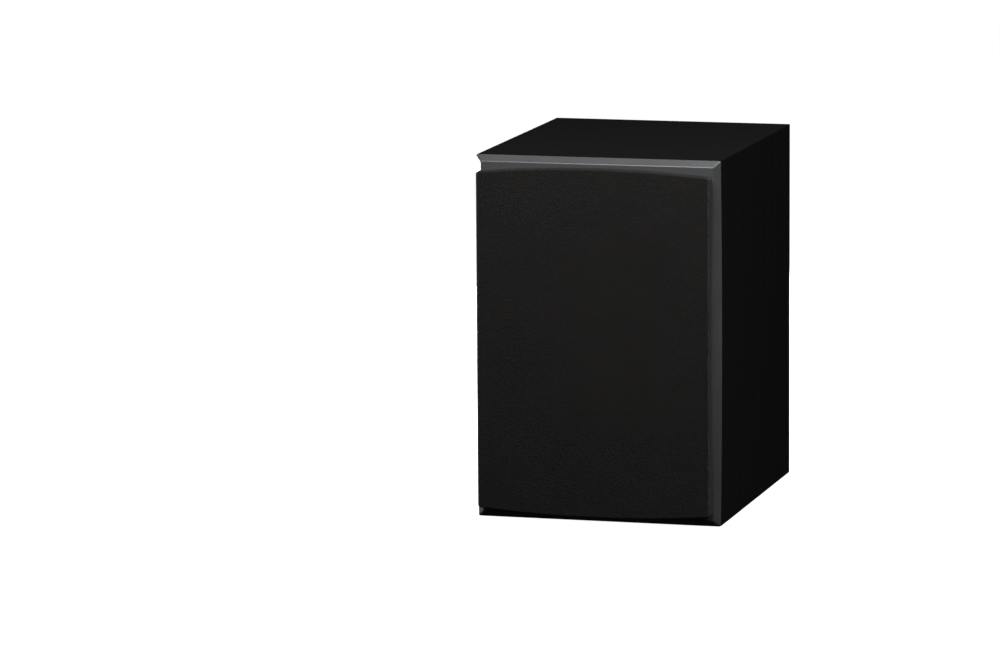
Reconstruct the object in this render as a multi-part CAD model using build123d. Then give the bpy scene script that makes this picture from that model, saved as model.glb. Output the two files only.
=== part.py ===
from build123d import *
import math
import os

# A two-way bass-reflex bookshelf loudspeaker with a 130 mm woofer and a 25 mm dome tweeter.
# Millimetres. X to the right, Y towards the back, Z up; the loudspeaker looks along -Y.
# The origin is at the middle of the underside of the whole loudspeaker, grille on.

# Cabinet
WIDTH = 200.0
HEIGHT = 293.0
DEPTH = 242.0
BOARD = 12.0
FRONT_BOARD = 15.0
REBATE = 6.0
EDGE_RADIUS = 0.5
MIDDLE = HEIGHT / 2

# Brace across the middle of the cabinet, with two windows
BRACE_WINDOW = (140.0, 108.0)
BRACE_CORNER = 12.0
BRACE_WINDOW_Z = (84.0, 209.0)

# Grille: how far it stands in front of the cabinet, and its outline
GRILLE_AHEAD = 22.9
GRILLE_WIDTH = 190.8
GRILLE_FOOT = 10.5
GRILLE_TOP = HEIGHT - 11.5
GRILLE_RISE = 4.4
GRILLE_GAP = 4.7
CLOTH = 0.6
CLOTH_TURN_IN = 5.6
CLOTH_TURN_CORNER = 1.0

# Grille frame: its corners and edges, its two openings and the crossbar between them
FRAME_CORNER = 1.6
FRAME_EDGE = 0.6
FRAME_BORDER = 16.2
OPENING_FOOT = 27.0
OPENING_TOP = HEIGHT - 27.0
OPENING_CORNER = 8.0
CROSSBAR_Z = 171.0
CROSSBAR = 10.0

# Pegs on the frame, and the sockets they are pushed into
PEG_X = 84.0
PEG_Z = 112.5
PEG_RADIUS = 3.95
PEG_COLLAR = 5.2
PEG_COLLAR_THICKNESS = 1.6
PEG_SPIGOT = 2.8
PEG_SPIGOT_END = -19.0
PEG_END = 3.0
SOCKET_BORE = 4.0
SOCKET_RADIUS = 6.0
SOCKET_REACH = 6.0
SOCKET_FLANGE = 1.5
SOCKET_FLANGE_THICKNESS = 1.0
SOCKET_FLOOR = 1.5

# Where the cabinet starts and ends, front to back
Y_FRONT = -(DEPTH - GRILLE_AHEAD) / 2
Y_REAR = Y_FRONT + DEPTH

# Moulded baffle: its rounded front face and the bevel round it
NECK_INSET = 3.0
NECK = 2.5
LIP = 0.7
SIDE_BOW = 0.9
FACE_AHEAD_ENDS = 8.0
FACE_AHEAD_MIDDLE = 10.6
MOULDING_WALL = 3.0
HOLLOW_DEPTH = 5.0
LIP_CORNER = 1.8
HIP_RADIUS = 1.8
RIM_RADIUS = 1.6
RIB = 2.5
RIB_X = 60.0
RIB_Z = (34.0, 150.0, 259.0)
DRIVER_RIM = 3.5
SOCKET_RIM = 3.0
SCREW_BOSS = 5.0
BAFFLE_SCREW_X = 83.0
BAFFLE_SCREW_Z = (17.0, 150.0, 276.0)
BAFFLE_SCREW = 1.75
SCREW_BITE = 6.0
DRIVER_FLOOR = 3.0
SEAL = 1.0
DRIVER_PLAY = 0.5

# Drivers: their seats lie one seal in front of the moulding's floors
SEAT_Y = Y_FRONT - DRIVER_FLOOR - SEAL
WOOFER_Z = 95.0
WOOFER_RADIUS = 73.0
WOOFER_HOLE = 61.0
WOOFER_SCREW_CIRCLE = 67.0
TWEETER_Z = 225.0
TWEETER_RADIUS = 48.0
TWEETER_HOLE = 37.5
TWEETER_SCREW_CIRCLE = 42.5

# Woofer's moving parts, as distances behind the seat
ROLL_MIDDLE = 54.0
ROLL_RADIUS = 4.5
ROLL_SKIN = 0.8
CONE_RIM = 46.0
CONE_NECK = 13.15
CONE_NECK_DEPTH = 22.0
CONE_SLOPE = 0.70
CONE_PAPER = 1.0
SPIDER_DEPTH = 23.75
SPIDER_CLOTH = 0.5
SPIDER_RIM = 46.0
TAB_Z = 5.0
LEAD_RADIUS = 0.6

# Woofer motor, as distances behind the seat
COIL_BORE = 12.9
GAP_FRONT = 43.0
TOP_PLATE = 5.0
MAGNET = 15.0
BACK_PLATE = 5.0

# Port
PORT_Z = 222.0
PORT_BORE = 20.0
PORT_LENGTH = 110.0
FLARE = 12.0
PORT_FLANGE = 38.0
PORT_FLANGE_THICKNESS = 2.5

# Terminal cup and the two binding posts
CUP_Z = 72.0
CUP_WIDTH = 79.0
CUP_HEIGHT = 59.0
CUP_WALL = 2.5
CUP_DEPTH = 30.0
CUP_FLOOR = 3.0
CUP_FLANGE = 6.5
CUP_CORNER = 6.0
CUP_PLAY = 0.5
CUP_SCREW = 1.5
CUP_SCREW_HEAD = 2.7
POST_SPACING = 19.05
POST_RADIUS = 3.0
BANANA_BORE = 2.0
BANANA_DEPTH = 18.0
KNOB_RADIUS = 7.0
KNOB_LENGTH = 14.0
KNOB_FIT = 0.05
KNOB_START = -(CUP_DEPTH - 5.2)
WASHER_PLAY = 0.03
KNOB_FLUTES = 12
CROSS_HOLE = 1.2
CROSS_HOLE_Y = -23.7

# Crossover board
CROSSOVER_WIDTH = 90.0
CROSSOVER_LENGTH = 64.0
CROSSOVER_THICKNESS = 1.6
CROSSOVER_Y = 24.0
STANDOFF = 8.0
STANDOFF_RADIUS = 3.2
STANDOFF_NECK = 1.5
STANDOFF_HEAD = 2.4

# Damping pads: thickness, front and back, and how high the ones on the sides reach
PAD = 15.0
PAD_Y = (12.0, 112.0)
PAD_Z = (80.0, 264.0)
TOP_PAD = 14.0
TOP_PAD_X = 70.0
TOP_PAD_Y = (12.0, 100.0)

# Wires
WIRE_RADIUS = 1.1
WIRE_BEND = 30.0

os.makedirs("parts", exist_ok=True)


def save(name, shape):
    """Writes one named piece, whose solids may be several where the piece comes in several."""
    solids = shape.solids()
    print(name, len(solids), round(sum(solid.volume for solid in solids), 1))
    export_step(Compound(children=solids) if len(solids) > 1 else solids[0], f"parts/{name}.step")


def prism(outline, y_near, y_far):
    """An outline drawn in X and Z, made solid from one depth to another."""
    return extrude(Plane.XZ.offset(-y_far) * outline, y_far - y_near)


def turned(outline, z, y=SEAT_Y, x=0.0):
    """An outline of radius and depth, turned about a line along Y."""
    return Pos(x, y, z) * revolve(outline, Axis.Y)


def area(*points):
    """A closed flat shape through the points given."""
    return make_face(Polyline(*points, close=True))


def ring(inner, outer, near, far):
    """The outline of a plain ring: its two radii, and the depths of its two faces."""
    return area((inner, near), (outer, near), (outer, far), (inner, far))


def rod(radius, near, far, x, z, y=0.0):
    """A round rod along Y."""
    return turned(ring(0, radius, near, far), z, y, x)


def around(count, radius, start=0.0):
    """Points evenly round a circle."""
    turns = [math.radians(start + 360 * i / count) for i in range(count)]
    return [(radius * math.cos(turn), radius * math.sin(turn)) for turn in turns]


def block(x, y, z):
    """A box given by its least and greatest X, Y and Z."""
    middle = Pos((x[0] + x[1]) / 2, (y[0] + y[1]) / 2, (z[0] + z[1]) / 2)
    return middle * Box(x[1] - x[0], y[1] - y[0], z[1] - z[0])


def cross_recess(radius, depth):
    """The cross in a screw's head, cut from depth 0 inwards."""
    arm = 0.22 * radius
    flat = Rectangle(1.2 * radius, arm) + Rectangle(arm, 1.2 * radius)
    return Pos(0, depth, 0) * extrude(Plane.XZ * flat, depth)


def pan_screw(shank, head, head_height, length):
    """A pan-head screw along Y: its head in front of y = 0, its shank behind it, with a cone point."""
    point = area(
        (0, -head_height),
        (0.7 * head, -head_height),
        (head, -0.5 * head_height),
        (head, 0),
        (shank, 0),
        (shank, length - 2 * shank),
        (0, length),
    )
    return revolve(point, Axis.Y) - Pos(0, -head_height, 0) * cross_recess(head, 0.6 * head_height)


def countersunk_screw(shank, head, length):
    """A countersunk screw along Y: its flat head flush with y = 0, its shank behind it."""
    point = area((0, 0), (head, 0), (shank, head - shank), (shank, length - 2 * shank), (0, length))
    return revolve(point, Axis.Y) - cross_recess(head, 0.6)


def facing_forward(shape):
    """Turned end for end, so that what pointed to the back points to the front."""
    return Rot(0, 0, 180) * shape


# Cabinet ---------------------------------------------------------------------------------------


def cabinet_section():
    """The cabinet's outline from the front, with the small radius of the folded wrap."""
    return Pos(0, MIDDLE) * RectangleRounded(WIDTH, HEIGHT, EDGE_RADIUS)


def board_section():
    """The outline of the front board and of the rear panel, which sit in the rebates."""
    return Pos(0, MIDDLE) * Rectangle(WIDTH - 2 * (BOARD - REBATE), HEIGHT - 2 * (BOARD - REBATE))


def mitred_panel(*corners):
    """One of the four long panels: mitred along both edges and rebated at both ends."""
    panel = prism(area(*corners) & cabinet_section(), Y_FRONT, Y_REAR)
    panel -= prism(board_section(), Y_FRONT, Y_FRONT + FRONT_BOARD)
    return panel - prism(board_section(), Y_REAR - BOARD, Y_REAR)


def cabinet():
    """The folded case: top, bottom and two sides, the rear panel and the brace across the middle."""
    x, inner = WIDTH / 2, WIDTH / 2 - BOARD
    top, under = HEIGHT - BOARD, BOARD
    save("top_panel", mitred_panel((-x, HEIGHT), (x, HEIGHT), (inner, top), (-inner, top)))
    save("bottom_panel", mitred_panel((-x, 0), (x, 0), (inner, under), (-inner, under)))
    save("left_panel", mitred_panel((-x, 0), (-x, HEIGHT), (-inner, top), (-inner, under)))
    save("right_panel", mitred_panel((x, 0), (x, HEIGHT), (inner, top), (inner, under)))

    rear = prism(board_section(), Y_REAR - BOARD, Y_REAR)
    rear -= rod(PORT_FLANGE, -PORT_FLANGE_THICKNESS, 0, 0, PORT_Z, Y_REAR)
    rear -= rod(PORT_BORE + FLARE + 1, -BOARD, 0, 0, PORT_Z, Y_REAR)
    rear -= prism(cup_outline(CUP_FLANGE), Y_REAR - CUP_WALL - SEAL, Y_REAR)
    rear -= prism(cup_outline(CUP_PLAY), Y_REAR - BOARD, Y_REAR)
    for x, z in cup_screw_places():
        rear -= rod(CUP_SCREW, -BOARD, 0, x, z, Y_REAR)
    save("rear_panel", rear)

    brace = prism(
        Pos(0, MIDDLE) * Rectangle(2 * inner, HEIGHT - 2 * BOARD), -BOARD / 2, BOARD / 2
    )
    window = RectangleRounded(*BRACE_WINDOW, BRACE_CORNER)
    for z in BRACE_WINDOW_Z:
        brace -= prism(Pos(0, z) * window, -BOARD / 2, BOARD / 2)
    save("window_brace", brace)


# Baffle ----------------------------------------------------------------------------------------


def side_profile(ends, middle, reach=0.0):
    """The baffle from the side, in Y and Z: flat behind, rounded in front."""
    low, high = FACE_AHEAD_ENDS - NECK - LIP + reach, HEIGHT - FACE_AHEAD_ENDS + NECK + LIP - reach
    front = ThreePointArc((Y_FRONT - ends, low), (Y_FRONT - middle, MIDDLE), (Y_FRONT - ends, high))
    back = Polyline((Y_FRONT - ends, high), (Y_FRONT, high), (Y_FRONT, low), (Y_FRONT - ends, low))
    return make_face(front.edges() + back.edges())


def behind_face(ends, middle):
    """Everything behind a rounded face that runs on past the top and bottom of the cabinet."""
    slope = (FACE_AHEAD_ENDS - NECK - LIP) / MIDDLE
    fall = 2 * (middle - ends) * slope
    profile = side_profile(ends - fall, middle, -(FACE_AHEAD_ENDS - NECK - LIP))
    return Pos(-WIDTH, 0, 0) * extrude(Plane.YZ * profile, 2 * WIDTH)


def bowed_outline(inset, corner):
    """The moulding's outline: straight at the top and bottom, bowed a little at the sides."""
    x, low, high = WIDTH / 2 - inset, inset, HEIGHT - inset
    right = ThreePointArc((x, low), (x + SIDE_BOW, MIDDLE), (x, high))
    left = ThreePointArc((-x, high), (-x - SIDE_BOW, MIDDLE), (-x, low))
    edges = right.edges() + left.edges()
    edges += Line((x, high), (-x, high)).edges() + Line((-x, low), (x, low)).edges()
    outline = make_face(edges)
    return fillet(outline.vertices(), corner) if corner else outline


def baffle_blank():
    """The moulding before its holes: neck, lip, 45 degree bevel and rounded face."""
    start, end = Y_FRONT - NECK - LIP, Y_FRONT - FACE_AHEAD_MIDDLE - 1
    rise = start - end
    lower = Plane.XZ.offset(-start) * bowed_outline(0, 0)
    upper = Plane.XZ.offset(-end) * bowed_outline(rise, 0)
    bevel = loft([lower, upper], ruled=True)
    hips = [e for e in bevel.edges() if abs(e.bounding_box().size.Y - rise) < 0.01]
    bevel = fillet(hips, HIP_RADIUS)
    bevel &= behind_face(FACE_AHEAD_ENDS, FACE_AHEAD_MIDDLE)
    rims = [e for e in bevel.edges() if e.bounding_box().max.Y < start - 1 and e.length > 30]
    bevel = fillet(rims, RIM_RADIUS)
    lip = prism(bowed_outline(0, LIP_CORNER), start, Y_FRONT - NECK)
    neck = prism(bowed_outline(NECK_INSET, LIP_CORNER), Y_FRONT - NECK, Y_FRONT)
    return bevel + lip + neck


def baffle_screw_places():
    """Where the six screws hold the moulding to the front board."""
    return [(side * BAFFLE_SCREW_X, z) for side in (-1, 1) for z in BAFFLE_SCREW_Z]


def peg_places():
    """Where the four pegs of the grille go in."""
    return [(side * PEG_X, MIDDLE + end * PEG_Z) for side in (-1, 1) for end in (-1, 1)]


def woofer_screw_places():
    """Where the four screws of the woofer go in."""
    return [(x, WOOFER_Z + z) for x, z in around(4, WOOFER_SCREW_CIRCLE, 45)]


def tweeter_screw_places():
    """Where the four screws of the tweeter go in."""
    return [(x, TWEETER_Z + z) for x, z in around(4, TWEETER_SCREW_CIRCLE, 45)]


def ribs_and_bosses():
    """What is left standing behind the moulding's face when it is hollowed."""
    kept = Pos(0, WOOFER_Z) * Circle(WOOFER_RADIUS + DRIVER_RIM)
    kept += Pos(0, TWEETER_Z) * Circle(TWEETER_RADIUS + DRIVER_RIM)
    for x, z in peg_places():
        kept += Pos(x, z) * Circle(SOCKET_RADIUS + SOCKET_RIM)
    for x, z in baffle_screw_places():
        kept += Pos(x, z) * Circle(SCREW_BOSS)
    for z in RIB_Z:
        kept += Pos(0, z) * Rectangle(WIDTH, RIB)
    for x in (-RIB_X, RIB_X):
        kept += Pos(x, MIDDLE) * Rectangle(RIB, HEIGHT)
    return kept


def socket_front():
    """How far in front of the cabinet the grille's sockets end."""
    drop = (FACE_AHEAD_MIDDLE - FACE_AHEAD_ENDS) * (PEG_Z / (MIDDLE - 4.8)) ** 2
    return FACE_AHEAD_MIDDLE - drop - 0.1


def baffle():
    """The moulded baffle, the front board behind it, its screws and the grille's sockets."""
    wall = NECK_INSET + MOULDING_WALL
    hollow = Pos(0, MIDDLE) * Rectangle(WIDTH - 2 * wall, HEIGHT - 2 * wall) - ribs_and_bosses()
    moulding = baffle_blank() - prism(hollow, Y_FRONT - HOLLOW_DEPTH, Y_FRONT)
    front = Y_FRONT - GRILLE_AHEAD
    floor = Y_FRONT - DRIVER_FLOOR
    board = prism(board_section(), Y_FRONT, Y_FRONT + FRONT_BOARD)

    seats = ((WOOFER_Z, WOOFER_RADIUS, WOOFER_HOLE), (TWEETER_Z, TWEETER_RADIUS, TWEETER_HOLE))
    for z, radius, hole in seats:
        moulding -= rod(radius + DRIVER_PLAY, front, floor, 0, z)
        through = rod(hole, front, Y_FRONT + FRONT_BOARD, 0, z)
        moulding -= through
        board -= through
    for places, radius in ((woofer_screw_places(), 2.0), (tweeter_screw_places(), 1.5)):
        for x, z in places:
            pilot = rod(radius, floor, Y_FRONT + FRONT_BOARD, x, z)
            moulding -= pilot
            board -= pilot

    sockets, screws = [], []
    flange_y = Y_FRONT - socket_front() + SOCKET_FLANGE_THICKNESS
    socket_end = Y_FRONT + SOCKET_REACH
    flange = SOCKET_RADIUS + SOCKET_FLANGE
    for x, z in peg_places():
        moulding -= rod(SOCKET_RADIUS, front, Y_FRONT, x, z)
        moulding -= rod(flange, front, flange_y, x, z)
        board -= rod(SOCKET_RADIUS, Y_FRONT, socket_end, x, z)
        profile = ring(0, SOCKET_RADIUS, 0, socket_end - flange_y)
        profile += ring(0, flange, -SOCKET_FLANGE_THICKNESS, 0)
        bore_end = socket_end - flange_y - SOCKET_FLOOR
        profile -= ring(0, SOCKET_BORE, -SOCKET_FLANGE_THICKNESS, bore_end)
        sockets.append(turned(profile, z, flange_y, x))
    for x, z in baffle_screw_places():
        shank = rod(BAFFLE_SCREW, -SCREW_BITE, FRONT_BOARD, x, z, Y_FRONT)
        moulding -= shank
        board -= shank
        screw = facing_forward(pan_screw(BAFFLE_SCREW, 3.5, 2.4, FRONT_BOARD + SCREW_BITE))
        screws.append(Pos(x, Y_FRONT + FRONT_BOARD, z) * screw)
    save("baffle_moulding", moulding)
    save("front_board", board)
    save("grille_sockets", Compound(children=sockets))
    save("baffle_screws", Compound(children=screws))


# Woofer ----------------------------------------------------------------------------------------


def cone_depth(radius):
    """How far behind the seat the back of the woofer's cone lies at a radius."""
    return CONE_NECK_DEPTH - CONE_SLOPE * (radius - CONE_NECK)


def woofer_basket():
    """The pressed steel frame: flange, six open arms, the spider's shelf and the motor's seat."""
    basket = area(
        (58.5, -2),
        (WOOFER_RADIUS, -2),
        (WOOFER_RADIUS, 0),
        (60.5, 0),
        (48, 24),
        (48, 26),
        (42, 26),
        (42, GAP_FRONT),
        (14.2, GAP_FRONT),
        (14.2, GAP_FRONT - 2),
        (40, GAP_FRONT - 2),
        (40, 24),
        (46, 24),
    )
    shape = revolve(basket, Axis.Y)
    openings = ((ring(30, 66, 3.5, 21), 42), (ring(30, 60, 29, 38), 30))
    for opening, angle in openings:
        for i in range(6):
            shape -= Rot(0, 60 * i - angle / 2, 0) * revolve(opening, Axis.Y, angle)
    for x, z in around(4, WOOFER_SCREW_CIRCLE, 45):
        shape -= Pos(x, 0, z) * revolve(ring(0, 2.25, -2, 0), Axis.Y)
    return Pos(0, SEAT_Y, WOOFER_Z) * shape


def half_roll(middle, mean, thickness, level):
    """The outline of a surround's half roll, standing forward of its level."""
    band = Circle(mean + thickness / 2) - Circle(mean - thickness / 2)
    front_half = Pos(0, -mean) * Rectangle(4 * mean, 2 * mean)
    return Pos(middle, level) * (band & front_half)


def woofer_surround():
    """The rubber half roll between the cone's rim and the basket's flange."""
    roll = half_roll(ROLL_MIDDLE, ROLL_RADIUS, ROLL_SKIN, -2)
    return turned(roll + ring(46.5, 49.9, -2.8, -2) + ring(58.1, 62.5, -2.8, -2), WOOFER_Z)


def woofer_spider():
    """The corrugated cloth disc that centres the voice coil."""
    waves, start, end, swing = 5, 17.0, 40.0, 1.1
    step = (end - start) / (2 * waves)
    crests = [(start + i * step, SPIDER_DEPTH + swing * (-1) ** i) for i in range(1, 2 * waves)]
    inner = [(CONE_NECK, SPIDER_DEPTH), (start, SPIDER_DEPTH)]
    line = [*inner, *crests, (end, SPIDER_DEPTH), (SPIDER_RIM, SPIDER_DEPTH)]
    upper = [(r, w - SPIDER_CLOTH / 2) for r, w in line]
    lower = [(r, w + SPIDER_CLOTH / 2) for r, w in line]
    return turned(area(*upper, *reversed(lower)), WOOFER_Z)


def woofer_cone():
    """The paper cone with the flat rim that the surround is glued to."""
    profile = area(
        (CONE_NECK, CONE_NECK_DEPTH),
        (CONE_NECK, CONE_NECK_DEPTH - CONE_PAPER),
        (CONE_RIM, cone_depth(CONE_RIM) - CONE_PAPER),
        (49.5, -1 - CONE_PAPER),
        (49.5, -1),
        (CONE_RIM, cone_depth(CONE_RIM)),
    )
    return turned(profile, WOOFER_Z)


def woofer_dust_cap():
    """The small dome over the voice coil, which sits on the front of the cone."""
    edge, height, skin = 19.0, 6.0, 0.6
    base = cone_depth(edge) - CONE_PAPER
    sphere = (edge * edge + height * height) / (2 * height)
    middle = base - height + sphere
    cap = Pos(0, middle) * (Circle(sphere) - Circle(sphere - skin))
    cap &= Pos(edge / 2, base - height / 2 + 0.5) * Rectangle(edge, height + 1)
    beyond = edge + 4
    behind_cone = area(
        (CONE_NECK, CONE_NECK_DEPTH - CONE_PAPER),
        (beyond, cone_depth(beyond) - CONE_PAPER),
        (beyond, GAP_FRONT),
        (CONE_NECK, GAP_FRONT),
    )
    return turned(cap - behind_cone, WOOFER_Z)


def woofer_terminal_plate():
    """The two brass tabs on the woofer, riveted through the shelf of the basket."""
    tabs = []
    for side in (-1, 1):
        z = WOOFER_Z + side * TAB_Z
        tabs.append(block((43, 66), (SEAT_Y + 26, SEAT_Y + 26.8), (z - 3.15, z + 3.15)))
    return Compound(children=tabs)


def tinsel_leads():
    """The two braided leads that run slack from the cone to the tabs."""
    leads = []
    for side in (-1, 1):
        z = WOOFER_Z + side * TAB_Z
        start = cone_depth(27) + 0.3
        points = [(27, start), (36, 19.0), (47.5, 15.5), (53, 20), (53, 26)]
        path = FilletPolyline(
            *[(x, SEAT_Y + w, z) for x, w in points], radius=[6.0, 6.0, 3.0]
        )
        leads.append(swept(path, LEAD_RADIUS))
    return Compound(children=leads)


def woofer():
    """The whole 130 mm driver."""
    save("woofer_basket", woofer_basket())
    seal = turned(ring(62, 72, 0, SEAL), WOOFER_Z)
    trim = turned(
        area(
            (59.5, -4.1),
            (60.3, -4.5),
            (71.7, -4.5),
            (72.5, -4.1),
            (72.5, -2),
            (62.7, -2),
            (62.7, -2.8),
            (59.5, -2.8),
        ),
        WOOFER_Z,
    )
    screws = []
    for x, z in woofer_screw_places():
        seal -= rod(2.25, 0, SEAL, x, z, SEAT_Y)
        trim -= rod(4.2, -5, 0, x, z, SEAT_Y)
        screws.append(Pos(x, SEAT_Y - 2, z) * pan_screw(2.0, 3.8, 2.3, 20))
    save("woofer_seal", seal)
    save("woofer_trim_ring", trim)
    save("woofer_screws", Compound(children=screws))
    save("woofer_surround", woofer_surround())
    save("woofer_cone", woofer_cone())
    save("woofer_dust_cap", woofer_dust_cap())
    save("woofer_spider", woofer_spider())
    save("woofer_terminals", woofer_terminal_plate())
    save("woofer_tinsel_leads", tinsel_leads())

    gap_middle = GAP_FRONT + TOP_PLATE / 2
    save("woofer_coil_former", turned(ring(COIL_BORE, CONE_NECK, 20, 51.5), WOOFER_Z))
    winding = ring(CONE_NECK, CONE_NECK + 0.5, gap_middle - 6, gap_middle + 6)
    save("woofer_coil_winding", turned(winding, WOOFER_Z))

    magnet_front = GAP_FRONT + TOP_PLATE
    magnet_back = magnet_front + MAGNET
    save("woofer_top_plate", turned(ring(14.05, 38, GAP_FRONT, magnet_front), WOOFER_Z))
    save("woofer_magnet", turned(ring(18, 40, magnet_front, magnet_back), WOOFER_Z))
    yoke = ring(3, 12.5, GAP_FRONT, magnet_back)
    yoke += ring(3, 37, magnet_back, magnet_back + BACK_PLATE)
    save("woofer_yoke", turned(yoke, WOOFER_Z))


# Tweeter ---------------------------------------------------------------------------------------


def tweeter_faceplate():
    """The round plate with its shallow horn, and the boss behind it that the motor sits on."""
    horn = ThreePointArc((18, 0.2), (24, -2.6), (35, -3.6))
    rest = Polyline(
        (35, -3.6),
        (TWEETER_RADIUS - 0.6, -3.6),
        (TWEETER_RADIUS, -3),
        (TWEETER_RADIUS, 0),
        (32, 0),
        (32, 2),
        (21.2, 2),
        (21.2, 1.3),
        (18, 1.3),
        (18, 0.2),
    )
    plate = turned(make_face(horn.edges() + rest.edges()), TWEETER_Z)
    for x, z in tweeter_screw_places():
        plate -= rod(1.75, -4, 0, x, z, SEAT_Y)
        plate -= rod(3.3, -4, -1.8, x, z, SEAT_Y)
    return plate


def tweeter_dome():
    """The 25 mm silk dome."""
    edge, height, skin, level = 12.8, 4.5, 0.4, 1.3
    sphere = (edge * edge + height * height) / (2 * height)
    cap = Pos(0, level - height + sphere) * (Circle(sphere) - Circle(sphere - skin))
    cap &= Pos(edge / 2, level - height / 2) * Rectangle(edge, height)
    return turned(cap, TWEETER_Z)


def tweeter():
    """The whole dome tweeter."""
    save("tweeter_faceplate", tweeter_faceplate())
    save("tweeter_dome", tweeter_dome())
    surround = half_roll(14.7, 1.7, 0.3, 1.6) + ring(12.8, 13.15, 1.3, 1.6)
    surround += ring(16.25, 21.2, 1.3, 1.6) + ring(17.8, 21.2, 1.3, 2.0)
    save("tweeter_surround", turned(surround, TWEETER_Z))
    coil = ring(12.65, 12.8, 1.3, 8) + ring(12.8, 13.3, 3, 6)
    save("tweeter_voice_coil", turned(coil, TWEETER_Z))
    save("tweeter_top_plate", turned(ring(13.95, 30, 2, 6), TWEETER_Z))
    save("tweeter_magnet", turned(ring(16, 30, 6, 14), TWEETER_Z))
    save("tweeter_yoke", turned(ring(0, 12.3, 2, 14) + ring(0, 28, 14, 18), TWEETER_Z))

    seal = turned(ring(38, 47.5, 0, SEAL), TWEETER_Z)
    screws = []
    for x, z in tweeter_screw_places():
        seal -= rod(1.75, 0, SEAL, x, z, SEAT_Y)
        screws.append(Pos(x, SEAT_Y - 1.8, z) * pan_screw(1.5, 3.0, 1.7, 18))
    save("tweeter_seal", seal)
    save("tweeter_screws", Compound(children=screws))

    tabs = []
    for side in (-1, 1):
        foot = block((32, 35.5), (SEAT_Y, SEAT_Y + 0.8), (TWEETER_Z - 2.4, TWEETER_Z + 2.4))
        leg = block((33, 33.8), (SEAT_Y, SEAT_Y + 20), (TWEETER_Z - 2.4, TWEETER_Z + 2.4))
        tab = foot + leg
        tabs.append(tab if side > 0 else mirror(tab, Plane.YZ))
    save("tweeter_terminals", Compound(children=tabs))


# Port ------------------------------------------------------------------------------------------


def port():
    """The flared mouth in the rear panel and the tube behind it. Depths run forward from the rear."""
    mouth = PORT_BORE + FLARE
    tube = PORT_BORE + 2
    sleeve = tube + 2.5
    sleeve_end = FLARE + 14
    inner = ThreePointArc(
        (mouth, 0),
        (mouth - FLARE * math.sin(math.pi / 4), -FLARE + FLARE * math.cos(math.pi / 4)),
        (PORT_BORE, -FLARE),
    )
    outer_fillet = mouth - sleeve
    outer = ThreePointArc(
        (sleeve, -FLARE),
        (mouth - outer_fillet * math.cos(math.pi / 4), -FLARE + outer_fillet * math.sin(math.pi / 4)),
        (mouth, -FLARE + outer_fillet),
    )
    socket = Polyline(
        (PORT_BORE, -FLARE), (tube, -FLARE), (tube, -sleeve_end), (sleeve, -sleeve_end), (sleeve, -FLARE)
    )
    flange = Polyline(
        (mouth, -FLARE + outer_fillet),
        (mouth + 1, -FLARE + outer_fillet),
        (mouth + 1, -PORT_FLANGE_THICKNESS),
        (PORT_FLANGE, -PORT_FLANGE_THICKNESS),
        (PORT_FLANGE, 0),
        (mouth, 0),
    )
    outline = make_face(inner.edges() + socket.edges() + outer.edges() + flange.edges())
    save("port_flare", turned(outline, PORT_Z, Y_REAR))
    save("port_tube", turned(ring(PORT_BORE, tube, -PORT_LENGTH, -FLARE), PORT_Z, Y_REAR))


# Terminal cup ----------------------------------------------------------------------------------


def cup_outline(grow=0.0):
    """The cup's outline from behind, or one that is larger all round."""
    corner = CUP_CORNER + min(grow, 0) / 2
    return Pos(0, CUP_Z) * RectangleRounded(CUP_WIDTH + 2 * grow, CUP_HEIGHT + 2 * grow, corner)


def cup_screw_places():
    """Where the four screws of the terminal cup go in."""
    x, z = CUP_WIDTH / 2 + 2.5, CUP_HEIGHT / 2 + 2.5
    return [(i * x, CUP_Z + k * z) for i in (-1, 1) for k in (-1, 1)]


def terminal_cup():
    """The recessed cup with its gasket and screws, flush with the rear panel."""
    floor = Y_REAR - CUP_DEPTH
    cup = prism(cup_outline(), floor - CUP_FLOOR, Y_REAR)
    cup += prism(cup_outline(CUP_FLANGE), Y_REAR - CUP_WALL, Y_REAR)
    cup -= prism(cup_outline(-CUP_WALL), floor, Y_REAR)
    gasket_y = Y_REAR - CUP_WALL - SEAL
    gasket = prism(cup_outline(CUP_FLANGE) - cup_outline(), gasket_y, Y_REAR - CUP_WALL)
    gasket -= prism(cup_outline(CUP_PLAY), gasket_y, Y_REAR - CUP_WALL)
    screws = []
    for x, z in cup_screw_places():
        screw = Pos(x, Y_REAR, z) * facing_forward(countersunk_screw(CUP_SCREW, CUP_SCREW_HEAD, 13))
        cup -= rod(CUP_SCREW, -CUP_WALL, 0, x, z, Y_REAR)
        sink = CUP_SCREW - CUP_SCREW_HEAD
        cup -= turned(area((0, 0), (CUP_SCREW_HEAD, 0), (CUP_SCREW, sink), (0, sink)), z, Y_REAR, x)
        gasket -= rod(CUP_SCREW, -10, 0, x, z, Y_REAR)
        screws.append(screw)
    for side in (-1, 1):
        cup -= rod(POST_RADIUS, -50, 0, side * POST_SPACING / 2, CUP_Z, Y_REAR)
    save("terminal_cup", cup)
    save("terminal_gasket", gasket)
    save("terminal_screws", Compound(children=screws))


def post_stud(x):
    """A brass stud with a socket for a 4 mm plug in its end and a cross hole for bare wire."""
    end = -(CUP_DEPTH - 18.5)
    stud = rod(POST_RADIUS, -43, end, x, CUP_Z, Y_REAR)
    stud -= rod(BANANA_BORE, end - BANANA_DEPTH, end, x, CUP_Z, Y_REAR)
    return stud - Pos(x, Y_REAR + CROSS_HOLE_Y, CUP_Z) * Cylinder(CROSS_HOLE, 3 * POST_RADIUS)


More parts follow.
